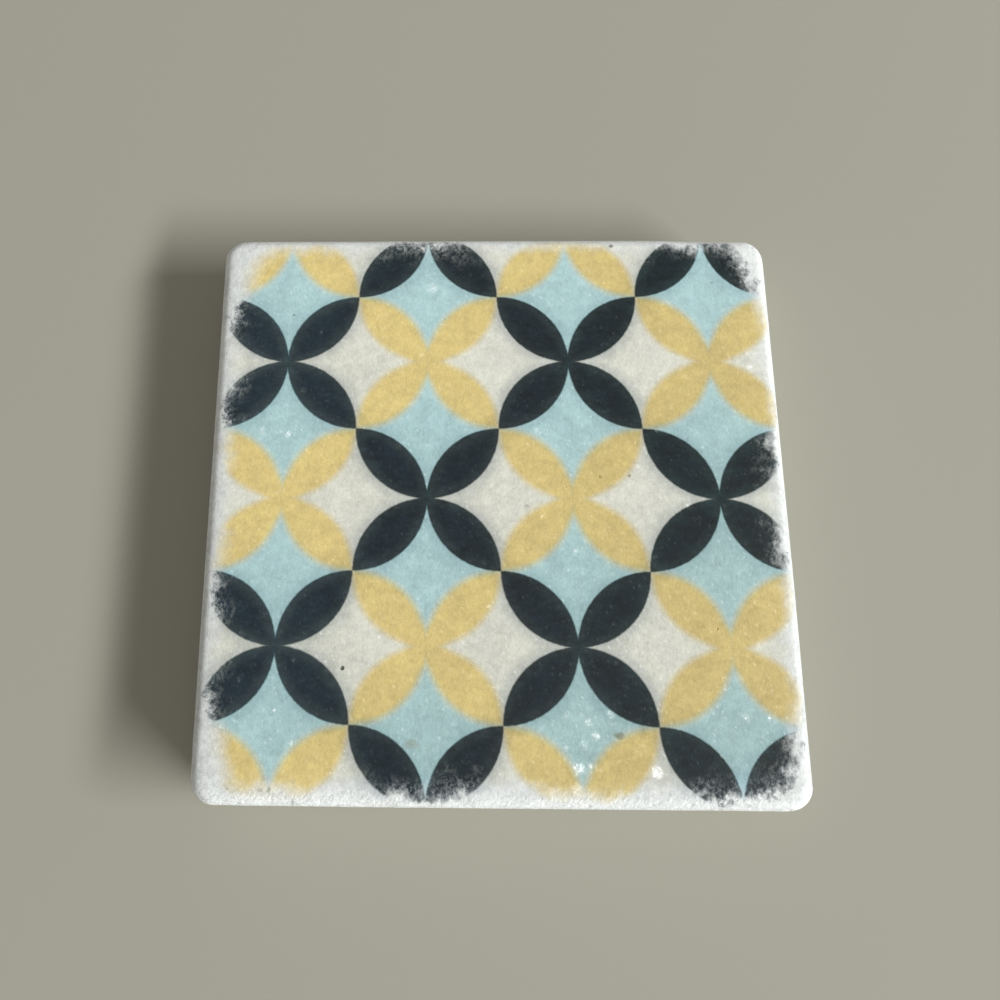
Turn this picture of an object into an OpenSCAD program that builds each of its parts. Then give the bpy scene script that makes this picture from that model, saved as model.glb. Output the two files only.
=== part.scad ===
// Square drink coaster: a tumbled marble tile with a dyed pattern of overlapping circles
// soaked into its top face, standing on four rubber feet.
// Millimetres. The origin is below the tile's centre, on the table that the feet stand on.
// +X is to the right, +Y to the back and +Z up.

/* [Stone tile] */
// Side of the square tile
tile_side = 100; // [90:1:110]
// Thickness of the tile
tile_thickness = 10; // [8:0.5:14]
// Radius of the tile's corners, seen from above
corner_radius = 4; // [3.5:0.25:8]
// Radius to which tumbling has worn the top edge
top_edge_radius = 2; // [1:0.25:3]
// Radius to which tumbling has worn the bottom edge
bottom_edge_radius = 1.5; // [1:0.25:3]

/* [Print] */
// Radius of the overlapping circles that draw the pattern
circle_radius = 12.5; // [8:0.5:20]
// Depth to which the dyes soak into the stone
dye_depth = 0.12; // [0.08:0.02:0.3]
// Bare line left between two dyes
dye_gap = 0.04; // [0.02:0.01:0.1]
// Width of the border that is worn bare all round the tile
worn_border = 1.4; // [0.8:0.1:3]
// Radius of the print's corners, where the dyes are worn away most
print_corner_radius = 6; // [3:0.5:12]
// How far the pattern lies to the right of the tile's centre
print_right = 0.65; // [-2:0.05:2]
// How far the pattern lies to the back of the tile's centre
print_back = 0.35; // [-2:0.05:2]

/* [Feet] */
// Diameter of a foot where it is stuck to the tile
foot_diameter = 12; // [8:0.5:16]
// Height of a foot
foot_height = 2; // [1.5:0.25:4]
// How much narrower a foot's sole is than its top, on each side
foot_taper = 0.6; // [0.2:0.1:1]
// Rounding round the sole of a foot
foot_rim_radius = 0.5; // [0.2:0.1:1]
// Distance from the tile's sides to the centre of a foot
foot_inset = 14; // [12:0.5:25]
// Thickness of the adhesive disc between a foot and the tile
adhesive_thickness = 0.2; // [0.1:0.05:0.5]
// How far the adhesive disc stays back from the foot's edge
adhesive_margin = 0.3; // [0.1:0.1:1]

/* [Hidden] */

// Overrun by which a cut reaches past the face that it opens
overrun = 0.5;
// Height of the tile's underside, which the feet and their adhesive carry
tile_bottom = foot_height + adhesive_thickness;
// Height of the face that the drink stands on
tile_top = tile_bottom + tile_thickness;
// Height down to which the print can follow the worn top edge
print_bottom = tile_top - top_edge_radius;
// Distance of a foot's centre from the tile's two centre lines
foot_place = tile_side / 2 - foot_inset;
// Number of circles that the pattern needs on each side of its centre to cover the tile
circles_each_side = ceil((tile_side / 2 + max(abs(print_right), abs(print_back))) / circle_radius);
// Steps on the circle grid, which reach one step past the tile
grid_steps = [-circles_each_side - 1 : circles_each_side];

$fn = 96;

// What rounding takes off a square corner, with the arc's centre at the origin
module rounding_waste(radius) {
    difference() {
        square(radius + overrun);
        circle(radius);
    }
}

// Half of a slab's side view, from its middle line out to its worn edge
module half_side_view(reach, height, top_radius, bottom_radius) {
    difference() {
        square([reach, height]);
        translate([reach - top_radius, height - top_radius]) rounding_waste(top_radius);
        translate([reach - bottom_radius, bottom_radius]) mirror([0, 1]) rounding_waste(bottom_radius);
    }
}

// One of the two crossing bars that make up the slab's straight sides
module slab_bar(half_width, length, height, top_radius, bottom_radius) {
    rotate([90, 0, 0])
        linear_extrude(height = length, center = true)
            for (side = [0, 1])
                mirror([side, 0]) half_side_view(half_width, height, top_radius, bottom_radius);
}

// The tumbled slab with every face moved inwards by the inset
module slab(inset) {
    half_width = tile_side / 2 - inset;
    height = tile_thickness - 2 * inset;
    corner = corner_radius - inset;
    top_radius = top_edge_radius - inset;
    bottom_radius = bottom_edge_radius - inset;
    corner_place = half_width - corner;
    translate([0, 0, tile_bottom + inset]) {
        for (turn = [0, 90])
            rotate(turn) slab_bar(half_width, 2 * corner_place, height, top_radius, bottom_radius);
        for (x = [-corner_place, corner_place], y = [-corner_place, corner_place])
            translate([x, y])
                rotate_extrude() half_side_view(corner, height, top_radius, bottom_radius);
    }
}

// Outline inside which the print has not been worn away
module printed_area() {
    half_width = tile_side / 2 - worn_border;
    corner_place = half_width - print_corner_radius;
    square([2 * half_width, 2 * corner_place], center = true);
    square([2 * corner_place, 2 * half_width], center = true);
    for (x = [-corner_place, corner_place], y = [-corner_place, corner_place])
        translate([x, y]) circle(print_corner_radius);
}

// Circle of the pattern round the grid point in the given column and row
module pattern_circle(column, row, radius) {
    translate([column, row] * circle_radius) circle(radius);
}

// A grid cell's two circle centres lie on its rising diagonal where this is true
function rises(column, row) = (column + row) % 2 == 0;

// Petal in one grid cell, where the circles round two opposite corners of the cell overlap
module petal(column, row) {
    rise = rises(column, row) ? 0 : 1;
    radius = circle_radius - dye_gap / 2;
    intersection() {
        pattern_circle(column, row + rise, radius);
        pattern_circle(column + 1, row + 1 - rise, radius);
    }
}

// Four-pointed star round a grid point, bounded by the circles round its four neighbours
module star(column, row) {
    radius = circle_radius + dye_gap / 2;
    difference() {
        translate([column, row] * circle_radius) square(2 * circle_radius, center = true);
        for (x = [-1, 1], y = [-1, 1])
            pattern_circle(column + x, row + y, radius);
    }
}

// Column and row of the flower that the petal in a grid cell belongs to: the cell's corner
// with an odd column and an even row
function flower_column(column) = column % 2 == 0 ? column + 1 : column;
function flower_row(row) = row % 2 == 0 ? row : row + 1;

// Flowers alternate in colour along both diagonals
function is_navy(column, row) = ((flower_column(column) + 3) / 2 + flower_row(row) / 2) % 2 != 0;

// Outline of every petal of one colour
module petals(navy) {
    for (column = grid_steps, row = grid_steps)
        if (is_navy(column, row) == navy) petal(column, row);
}

// Outline of the stars round every grid point with an odd column and an odd row
module stars() {
    for (column = grid_steps, row = grid_steps)
        if (column % 2 != 0 && row % 2 != 0) star(column, row);
}

// Upright prism over the part of a pattern's outline that lies in the printed area
module print_prism() {
    translate([0, 0, print_bottom])
        linear_extrude(height = top_edge_radius + overrun)
            intersection() {
                translate([print_right, print_back]) children();
                printed_area();
            }
}

// Skin of stone that a dye has soaked into, which follows the worn top edge
module dyed_skin() {
    difference() {
        intersection() {
            print_prism() children();
            slab(0);
        }
        slab(dye_depth);
    }
}

// Bare stone round and under the dyes
module stone_tile() {
    color([0.83, 0.82, 0.76])
        union() {
            difference() {
                slab(0);
                print_prism() petals(true);
                print_prism() petals(false);
                print_prism() stars();
            }
            slab(dye_depth);
        }
}

module navy_petals() {
    color([0.17, 0.2, 0.22]) dyed_skin() petals(true);
}

module mustard_petals() {
    color([0.83, 0.74, 0.5]) dyed_skin() petals(false);
}

module pale_blue_stars() {
    color([0.65, 0.78, 0.78]) dyed_skin() stars();
}

// Side view of half a foot: a tapered wall that runs into a rounded rim round the sole
module half_foot_view() {
    top_reach = foot_diameter / 2;
    sole_reach = top_reach - foot_taper;
    wall_lean = atan(foot_taper / foot_height);
    rim_centre = sole_reach - foot_rim_radius * (1 - sin(wall_lean)) / cos(wall_lean);
    rim_end = [
        rim_centre + foot_rim_radius * cos(wall_lean),
        foot_rim_radius * (1 - sin(wall_lean))
    ];
    polygon([[0, 0], [rim_centre, 0], rim_end, [top_reach, foot_height], [0, foot_height]]);
    translate([rim_centre, foot_rim_radius]) circle(foot_rim_radius);
}

module foot(side, end) {
    color([0.1, 0.1, 0.1])
        translate([side * foot_place, end * foot_place])
            rotate_extrude() half_foot_view();
}

module adhesive(side, end) {
    color([0.75, 0.73, 0.68])
        translate([side * foot_place, end * foot_place, foot_height])
            cylinder(d = foot_diameter - 2 * adhesive_margin, h = adhesive_thickness);
}

stone_tile();
navy_petals();
mustard_petals();
pale_blue_stars();
foot(-1, -1);  // foot_front_left
foot(1, -1);  // foot_front_right
foot(-1, 1);  // foot_back_left
foot(1, 1);  // foot_back_right
adhesive(-1, -1);  // adhesive_front_left
adhesive(1, -1);  // adhesive_front_right
adhesive(-1, 1);  // adhesive_back_left
adhesive(1, 1);  // adhesive_back_right
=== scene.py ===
import math
import random

import bmesh
import bpy
import numpy as np
from mathutils import Matrix, Vector, noise
from mathutils.bvhtree import BVHTree
from mathutils.interpolate import poly_3d_calc


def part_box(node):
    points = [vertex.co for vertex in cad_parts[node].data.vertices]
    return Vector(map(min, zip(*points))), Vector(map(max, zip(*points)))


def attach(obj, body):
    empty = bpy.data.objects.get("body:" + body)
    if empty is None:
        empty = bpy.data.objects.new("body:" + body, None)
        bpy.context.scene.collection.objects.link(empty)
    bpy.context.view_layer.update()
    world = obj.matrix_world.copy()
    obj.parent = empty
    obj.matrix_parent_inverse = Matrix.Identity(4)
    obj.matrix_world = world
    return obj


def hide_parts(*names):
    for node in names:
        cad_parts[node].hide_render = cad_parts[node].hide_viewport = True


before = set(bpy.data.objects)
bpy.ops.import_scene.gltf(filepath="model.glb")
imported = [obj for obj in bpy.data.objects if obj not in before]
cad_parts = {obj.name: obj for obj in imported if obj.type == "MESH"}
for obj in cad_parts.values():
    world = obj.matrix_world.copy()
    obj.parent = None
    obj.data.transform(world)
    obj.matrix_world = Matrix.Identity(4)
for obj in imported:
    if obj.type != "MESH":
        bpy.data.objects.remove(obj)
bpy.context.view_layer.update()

# One millimetre, in the metres that the frame uses
MM = 0.001

# Sizes of the tile, from the frame
TILE_LOW, TILE_HIGH = (Vector(corner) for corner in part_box("stone_tile"))
TILE_HALF = (TILE_HIGH.x - TILE_LOW.x) / 2
TILE_TOP = TILE_HIGH.z
TILE_BOTTOM = TILE_LOW.z
# Height of the top face, in millimetres
TOP = TILE_TOP / MM
CORNER_RADIUS = 4 * MM
TOP_EDGE_RADIUS = 2 * MM
BOTTOM_EDGE_RADIUS = 1.5 * MM

# The print's pattern of overlapping circles, and the skin of stone that its dyes soak into
CIRCLE_RADIUS = 12.5 * MM
CIRCLE_SIDES = 96
DYE_GAP = 0.04 * MM
DYE_DEPTH = 0.12 * MM
PRINT_PLACE = Vector((0.65 * MM, 0.35 * MM, 0.0))
WORN_BORDER = 1.4 * MM
PRINT_CORNER_RADIUS = 6 * MM
PRINT_CORNER_STEPS = 16

# The feet
FOOT_TAPER = 0.6 * MM
FOOT_RIM_RADIUS = 0.5 * MM

# The camera of the photograph, fitted to the print's circles
CAMERA_PLACE = Vector((-10.48, -27.92, 139.89)) * MM
CAMERA_AIM = Vector((-12.77, 0.03, 12.2)) * MM
CAMERA_ROLL = math.radians(0.393)
CAMERA_SENSOR = 36
CAMERA_LENS = 27.436
CAMERA_SHIFT = 0.0785

# The light falls from the right and a little from the front, low enough for a long shadow
KEY_TURN = math.radians(-20)
KEY_RISE = math.radians(29)
KEY_DISTANCE = 3.2
KEY_WIDTH = 2.6
KEY_HEIGHT = 0.4
KEY_POWER = 133.0
KEY_COLOUR = (0.98, 1.0, 1.0)
FILL_COLOUR = (1.0, 0.965, 0.91)
FILL_STRENGTH = 0.27
BACKDROP_COLOUR = (0.62, 0.61, 0.57)

FLOOR_SIZE = 4.0
FLOOR_COLOUR = (0.44, 0.425, 0.355)
FLOOR_ROUGHNESS = 0.85
FLOOR_GLOSS = 0.2


class Wires:
    """Adds nodes to one tree and joins them like a formula."""

    def __init__(self, tree):
        self.tree = tree

    def feed(self, socket, value):
        if isinstance(value, bpy.types.NodeSocket):
            self.tree.links.new(value, socket)
        else:
            socket.default_value = value

    def add(self, kind, feeds=None, **settings):
        """A new node with its settings, and with what feeds each of its inputs."""
        node = self.tree.nodes.new(kind)
        for name, value in settings.items():
            setattr(node, name, value)
        for name, value in (feeds or {}).items():
            self.feed(node.inputs[name], value)
        return node

    def math(self, operation, *values, clamp=False):
        feeds = dict(enumerate(values))
        return self.add("ShaderNodeMath", feeds, operation=operation, use_clamp=clamp).outputs[0]

    def plus(self, first, second, clamp=False):
        return self.math("ADD", first, second, clamp=clamp)

    def minus(self, first, second, clamp=False):
        return self.math("SUBTRACT", first, second, clamp=clamp)

    def times(self, first, second):
        return self.math("MULTIPLY", first, second)

    def larger(self, first, second):
        return self.math("MAXIMUM", first, second)

    def smaller(self, first, second):
        return self.math("MINIMUM", first, second)

    def vector(self, operation, *values):
        node = self.add("ShaderNodeVectorMath", dict(enumerate(values)), operation=operation)
        return node.outputs["Value" if operation == "DISTANCE" else "Vector"]

    def scaled(self, vector, factor):
        feeds = {0: vector, "Scale": factor}
        return self.add("ShaderNodeVectorMath", feeds, operation="SCALE").outputs["Vector"]

    def parts(self, vector):
        return self.add("ShaderNodeSeparateXYZ", {0: vector}).outputs

    def whole(self, x=0.0, y=0.0, z=0.0):
        """A vector put together from its parts."""
        return self.add("ShaderNodeCombineXYZ", {"X": x, "Y": y, "Z": z}).outputs[0]

    def step(self, value, low, high, start=0.0, end=1.0):
        """A smooth change from start to end, as the value goes from low to high."""
        feeds = {"Value": value, "From Min": low, "From Max": high, "To Min": start, "To Max": end}
        return self.add("ShaderNodeMapRange", feeds, interpolation_type="SMOOTHSTEP").outputs["Result"]

    def noise(self, place, scale, detail=2.0, roughness=0.5):
        feeds = {"Vector": place, "Scale": scale, "Detail": detail, "Roughness": roughness}
        return self.add("ShaderNodeTexNoise", feeds).outputs["Fac"]

    def cells(self, place, scale):
        return self.add("ShaderNodeTexVoronoi", {"Vector": place, "Scale": scale}).outputs

    def shaken(self, place, scale, reach):
        """The place moved about at random, by up to half the reach each way."""
        node = self.add("ShaderNodeTexNoise", {"Vector": place, "Scale": scale, "Detail": 3.0})
        shift = self.vector("SUBTRACT", node.outputs["Color"], (0.5, 0.5, 0.5))
        return self.vector("ADD", place, self.scaled(shift, reach))

    def mix(self, share, first, second):
        feeds = {"Factor": share}
        for number, value in ((6, first), (7, second)):
            feeds[number] = value if isinstance(value, bpy.types.NodeSocket) else (*value, 1.0)
        return self.add("ShaderNodeMix", feeds, data_type="RGBA").outputs[2]


def new_tree(kind, name, inputs, outputs):
    """An empty tree with its wires, its inputs as they come in and its outputs as they go out."""
    tree = bpy.data.node_groups.new(name, kind)
    for direction, sockets in (("INPUT", inputs), ("OUTPUT", outputs)):
        for socket_name, socket_kind in sockets:
            tree.interface.new_socket(name=socket_name, in_out=direction, socket_type=socket_kind)
    w = Wires(tree)
    return tree, w, w.add("NodeGroupInput").outputs, w.add("NodeGroupOutput").inputs


# What the stone's shader groups are given: a place on the tile, in millimetres
PLACE_ONLY = [("Place", "NodeSocketVector")]
# Widths of the bare border worn along each side of the print, in millimetres
WORN_LEFT = 2.6
WORN_RIGHT = 1.4
WORN_FRONT = 2.3
WORN_BACK = 1.6
# Radius of the corners of the worn outline, in millimetres
WORN_CORNER = 7.5
# Places where the print is worn back further, or less far: place, reach and extra wear, in millimetres
WORN_SPOTS = (
    ((-47.5, 43.0), 9.5, 2.5),
    ((-47.5, -41.0), 7.5, 2.8),
    ((49.0, 43.0), 8.0, 1.7),
    ((49.0, -40.0), 8.0, 1.0),
    ((-22.0, 56.0), 34.0, 0.1),
    ((-38.0, 50.0), 7.0, 0.6),
    ((20.0, -50.0), 14.0, -0.8),
    ((50.0, 18.0), 9.0, -0.6),
    ((50.5, 31.5), 5.5, -0.8),
    ((-36.9, -47.8), 3.5, 0.85),
    ((13.2, -47.8), 3.5, 0.5),
)
# Wear added from the top of the rounded edge down to the walls, which carry no print at all
WORN_WALL = 7.0
# Wear far greater than the tile, for the walls and the underside, which have no print at all
NO_PRINT = 200.0
# Half the width over which navy, mustard and pale blue fade out, in millimetres
NAVY_EDGE = 0.19
MUSTARD_EDGE = 0.9
BLUE_EDGE = 1.25
# How far mustard and navy pool beyond their circles round a flower's centre, and within what reach of it
MUSTARD_POOL = 0.8
MUSTARD_POOL_REACH = 4.8
NAVY_POOL = 0.16
NAVY_POOL_REACH = 3.0
# How far a trace of navy bleeds into the stone beside it, in millimetres
BLEED = 2.6
# Depth that stands for no petal of a colour nearby, in millimetres
NONE_NEAR = -20.0


def centred(w, place, *noise_values):
    """Noise that swings about zero."""
    return w.minus(w.noise(place, *noise_values), 0.5)


def weighted_sum(w, *pairs):
    total = 0.0
    for value, weight in pairs:
        total = w.plus(total, w.times(value, weight))
    return total


def squares(w, across, along):
    """The square of how far off a place is, from how far it is off each way."""
    return w.plus(w.times(across, across), w.times(along, along))


def worn_edge_distance(w, place):
    """How far a place lies inside the print's worn outline, and its extra wear, in millimetres."""
    x, y, z = w.parts(place)
    half = TILE_HALF / MM
    across = w.smaller(w.plus(x, half - WORN_LEFT), w.minus(half - WORN_RIGHT, x))
    along = w.smaller(w.plus(y, half - WORN_FRONT), w.minus(half - WORN_BACK, y))
    short_x = w.larger(w.minus(WORN_CORNER, across), 0.0)
    short_y = w.larger(w.minus(WORN_CORNER, along), 0.0)
    edge = w.minus(WORN_CORNER, w.math("SQRT", squares(w, short_x, short_y)))
    extra_wear = 0.0
    for (spot_x, spot_y), reach, extra in WORN_SPOTS:
        away = w.vector("DISTANCE", place, (spot_x, spot_y, TOP))
        extra_wear = w.plus(extra_wear, w.step(away, 0.2 * reach, reach, extra, 0.0))
    dropped = w.minus(TOP, z)
    wear = w.plus(extra_wear, w.step(dropped, 0.35, 1.7, 0.0, WORN_WALL))
    wear = w.plus(wear, w.step(dropped, 2.0, 3.0, 0.0, NO_PRINT))
    return w.minus(edge, wear), extra_wear


def nearest_flower(w, across, up):
    """Column and row of the flower nearest to a place, in steps of the circle grid."""
    column = w.math("ROUND", w.times(w.minus(across, 1.0), 0.5))
    return column, w.math("ROUND", w.times(up, 0.5))


def petal_depths(w, place, along, beside, centre_across, centre_up, turn, wobble):
    """How deep a place lies inside the nearest petal on one diagonal, for navy and for mustard."""
    away = w.minus(1.0, w.math("ABSOLUTE", along))
    inside = w.minus(math.sqrt(0.5), w.math("SQRT", squares(w, away, beside)))
    inside = w.plus(w.times(inside, math.sqrt(2) * CIRCLE_RADIUS / MM), wobble)
    side = w.math("SIGN", along)
    petal_across = w.plus(centre_across, w.times(side, turn))
    petal_up = w.plus(centre_up, w.times(side, 0.5))
    is_navy = w.math("PINGPONG", w.plus(*nearest_flower(w, petal_across, petal_up)), 1.0)
    as_navy = w.plus(inside, w.times(w.minus(1.0, is_navy), NONE_NEAR))
    return as_navy, w.plus(inside, w.times(is_navy, NONE_NEAR))


def dye_shapes(w, place):
    """How deep a place lies in navy, in pooled navy and in pooled mustard, and whether its star is blue."""
    radius = CIRCLE_RADIUS / MM

    # Grid coordinates along the pattern's two diagonals, in which the circles' centres are whole numbers
    grid = w.scaled(w.vector("SUBTRACT", place, tuple(PRINT_PLACE / MM)), 1 / radius)
    across, up, _ = w.parts(grid)
    rising = w.times(w.plus(across, up), 0.5)
    falling = w.times(w.minus(up, across), 0.5)
    rising_near = w.math("ROUND", rising)
    falling_near = w.math("ROUND", falling)
    rising_off = w.minus(rising, rising_near)
    falling_off = w.minus(falling, falling_near)
    centre = w.minus(rising_near, falling_near), w.plus(rising_near, falling_near)

    # How deep the place lies inside the two nearest petals, kept apart by their colour
    wobble = w.times(centred(w, place, 1.3, 2.0), 0.16)
    rising_petal = petal_depths(w, place, rising_off, falling_off, *centre, 0.5, wobble)
    falling_petal = petal_depths(w, place, falling_off, rising_off, *centre, -0.5, wobble)
    navy = w.larger(rising_petal[0], falling_petal[0])
    mustard = w.larger(rising_petal[1], falling_petal[1])

    # The dyes pool round the centre of their flowers, where four petals meet
    column, row = nearest_flower(w, across, up)
    off_column = w.minus(across, w.plus(w.times(column, 2.0), 1.0))
    off_row = w.minus(up, w.times(row, 2.0))
    from_flower = w.times(w.math("SQRT", squares(w, off_column, off_row)), radius)
    mustard_pool = w.step(from_flower, 0.8, MUSTARD_POOL_REACH, MUSTARD_POOL, 0.0)
    navy_pool = w.step(from_flower, 0.2, NAVY_POOL_REACH, NAVY_POOL, 0.0)
    navy_pooled = w.plus(w.plus(navy, navy_pool), 0.04)

    # Stars whose grid point is odd are blue
    return navy, navy_pooled, w.plus(mustard, mustard_pool), w.math("PINGPONG", centre[1], 1.0)


def make_print_masks():
    """Where each dye lies, worked out from a place on the tile in millimetres."""
    names = ("Navy", "Mustard", "Blue", "Depth", "Edge", "Coat", "Bleed")
    outputs = [(name, "NodeSocketFloat") for name in names]
    tree, w, given, result = new_tree("ShaderNodeTree", "print_masks", PLACE_ONLY, outputs)
    place = given["Place"]
    navy_depth, navy_pooled, mustard_pooled, star_is_blue = dye_shapes(w, place)

    # The dyes are worn away in patches and in grains, navy more raggedly than the rest
    edge, extra_wear = worn_edge_distance(w, place)
    patches = centred(w, place, 0.3, 2.0, 0.5)
    grains = centred(w, w.shaken(place, 0.8, 0.9), 1.6, 5.0, 0.7)
    strokes = centred(w, w.vector("MULTIPLY", place, (1.0, 0.7, 1.0)), 2.0, 4.0, 0.65)
    wisps = centred(w, w.vector("MULTIPLY", w.shaken(place, 0.5, 1.6), (1.0, 0.6, 1.0)), 0.75, 4.0, 0.6)
    x, y, _ = w.parts(place)
    right = w.step(x, 20.0, 38.0)
    front = w.step(y, -44.0, -40.0, 1.0, 0.0)
    navy_rim = w.plus(edge, weighted_sum(w, (w.step(x, 30.0, 44.0), -0.5), (front, 0.2)))
    grainy = w.times(grains, w.step(w.larger(right, front), 0.0, 1.0, 5.0, 2.4))
    front_left = w.times(front, w.minus(1.0, right))
    wispy = w.times(wisps, weighted_sum(w, (1.0, 1.0), (right, 5.0), (front_left, 3.0)))
    ragged = w.plus(w.times(patches, 4.5), w.plus(grainy, wispy))
    softness = w.minus(right, w.times(front, 0.8))
    navy_cut = w.step(w.plus(navy_rim, ragged), -0.8, w.step(softness, 0.0, 1.0, 1.3, 2.3))
    thin = w.step(w.plus(navy_rim, w.times(patches, 8.0)), 0.0, 4.5, 1.0, 0.0)
    rubbed = w.plus(w.times(strokes, 1.6), 0.1, clamp=True)
    navy_left = w.minus(1.0, w.times(thin, rubbed))
    navy_left = w.times(navy_left, w.math("POWER", navy_cut, 0.6))
    soft_rim = w.plus(edge, weighted_sum(w, (patches, 3.5), (grains, 1.3)))
    faded = w.plus(w.times(extra_wear, 1.6), 2.7)
    soft_left = w.step(w.plus(soft_rim, w.times(extra_wear, 0.5)), -1.5, faded)

    navy = w.step(navy_pooled, -NAVY_EDGE, NAVY_EDGE)
    mustard = w.step(mustard_pooled, -MUSTARD_EDGE, MUSTARD_EDGE)
    beside_mustard = w.step(mustard_pooled, -BLUE_EDGE, BLUE_EDGE, 1.0, 0.0)
    beside_navy = w.step(navy_depth, 0.0, 0.5, 1.0, 0.0)
    blue = w.times(w.times(beside_mustard, beside_navy), star_is_blue)
    bleed = w.times(w.step(navy_depth, -BLEED, 0.2), w.minus(1.0, w.times(blue, 0.4)))
    under_navy = w.minus(1.0, w.times(navy, w.minus(1.0, navy_left)))
    coat_rim = w.plus(soft_rim, weighted_sum(w, (front, -1.3), (right, -0.9)))
    made = {
        "Navy": w.times(navy, navy_left),
        "Mustard": w.times(mustard, soft_left),
        "Blue": w.times(blue, soft_left),
        "Bleed": w.times(bleed, navy_left),
        "Coat": w.times(w.step(coat_rim, -1.2, 2.6), under_navy),
        "Depth": navy_depth,
        "Edge": edge,
    }
    for name, value in made.items():
        w.feed(result[name], value)
    return tree


# Colours of the stone, bare and under the print's pale ground
BARE_WHITE = (0.82, 0.85, 0.84)
COATED_CREAM = (0.835, 0.84, 0.735)
COATED_GREY = (0.785, 0.785, 0.70)
BLED_GREY = (0.71, 0.74, 0.78)
# What each dye lets through of the stone's own colour
NAVY_MIDDLE = (0.0118, 0.0248, 0.0405)
NAVY_RIM = (0.046, 0.064, 0.076)
NAVY_THIN = (0.036, 0.052, 0.064)
MUSTARD_TINT = (0.985, 0.782, 0.37)
MUSTARD_DEEP = (0.98, 0.772, 0.353)
BLUE_TINT = (0.598, 0.863, 1.0)
BLUE_DEEP = (0.542, 0.78, 0.885)
# White of the bright crystals, partly their own colour and partly a painted glint
CRYSTAL_GLINT_WHITE = (0.94, 0.95, 0.92)
# The further tint that navy has towards the tile's right edge
NAVY_RIGHT_TINT = (0.75, 0.97, 0.92)
# How much greyer the stone is on its sunlit right edge, on its walls, and on the wall under that edge; on the
# sunlit edge and the wall under it this is painted shade that keeps them short of white
SUNLIT_EDGE_PAINTED_SHADE = -0.17
WALL_TONE = -0.07
SUNLIT_WALL_PAINTED_SHADE = -0.09
# The stone's gloss, its roughness at its middle tone, and its relief: strength, and height in millimetres
STONE_GLOSS = 0.3
STONE_ROUGHNESS = 0.56
STONE_RELIEF = 0.6, 0.08
# Share of light that wanders inside the bare stone, how far red, green and blue go, and the scale of that
STONE_GLOW = 0.2
GLOW_RADIUS = (1.0, 0.95, 0.85)
GLOW_SCALE = 0.8 * MM
# The feet's colour, dust, gloss and relief, and the colours of the adhesive film
RUBBER_BLACK = (0.016, 0.016, 0.017)
RUBBER_DUST = (0.075, 0.072, 0.066)
RUBBER_GLOSS = 0.35
RUBBER_RELIEF = 0.5, 0.02
FILM_GREY = (0.50, 0.48, 0.42)
FILM_MILK = (0.58, 0.56, 0.50)
FILM_BUBBLE = (0.66, 0.65, 0.60)
# How far the facets of the bright crystals lean at random, and the way they all lean
FACET_TILT = 0.5
FACET_LEAN = (0.26, -0.1, 0.0)
# Marks in the stone that the photograph shows: place and reach in millimetres, colour and strength
MARKS = (
    # The first mark darkens the inside of the pit scooped at that place: painted shade in the pit
    ((-25.6, -28.2), (0.42, 0.42), (0.035, 0.028, 0.018), 0.95),
    ((-14.1, -40.0), (1.2, 0.8), (0.33, 0.36, 0.28), 0.65),
    ((19.1, -38.5), (0.95, 0.6), (0.17, 0.16, 0.08), 0.72),
    ((-38.2, -47.2), (0.5, 0.4), (0.3, 0.27, 0.16), 0.6),
    ((-36.7, -47.2), (0.35, 0.5), (0.26, 0.24, 0.15), 0.7),
    ((-37.5, -45.4), (0.7, 0.45), (0.33, 0.32, 0.24), 0.35),
    ((-33.0, -49.0), (0.25, 0.6), (0.25, 0.25, 0.22), 0.8),
    ((-43.4, -47.0), (0.4, 0.35), (0.35, 0.32, 0.25), 0.5),
    ((21.8, 48.0), (0.45, 0.4), (0.10, 0.08, 0.05), 0.8),
    ((39.7, 40.7), (0.4, 0.2), (0.12, 0.16, 0.17), 0.6),
    ((5.3, -1.0), (0.5, 0.4), (0.3, 0.3, 0.26), 0.5),
    ((17.9, 4.2), (0.26, 0.26), (0.2, 0.14, 0.05), 0.95),
    ((22.9, 4.4), (0.34, 0.26), (0.22, 0.18, 0.1), 0.95),
    ((-36.2, 34.3), (0.26, 0.26), (0.1, 0.16, 0.18), 0.8),
)
# Nests of bright crystal that the photograph shows most plainly: place, reach in millimetres and strength
# Their brightness is partly the crystals' own white and partly painted glint
NESTS = (
    ((24.9, -43.9), 1.5, 1.25),
    ((12.5, -43.5), 1.5, 0.95),
    ((15.5, -38.6), 1.1, 0.85),
    ((18.0, -35.1), 1.0, 0.6),
    ((12.1, -46.7), 1.5, 0.7),
    ((43.2, -35.7), 0.6, 0.8),
    ((39.7, -35.5), 1.3, 0.58),
    ((-11.0, 39.6), 1.8, 0.62),
    ((-36.3, 11.8), 0.9, 0.85),
    ((-37.7, 12.2), 0.9, 0.45),
    ((-40.7, 12.4), 1.2, 0.55),
    ((-36.4, -34.9), 0.5, 0.9),
    ((-33.5, -39.8), 0.8, 0.6),
    ((13.2, -8.7), 0.8, 0.6),
    ((-1.4, -18.0), 0.6, 1.1),
    ((14.4, -43.2), 0.8, 0.9),
    ((13.6, -39.9), 1.0, 0.6),
    ((10.6, -40.5), 0.7, 0.7),
    ((10.9, -35.3), 1.0, 0.5),
    ((14.4, -36.4), 1.3, 0.55),
    ((16.0, -43.6), 0.9, 0.5),
    ((-31.0, 30.9), 0.6, 0.9),
)


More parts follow.
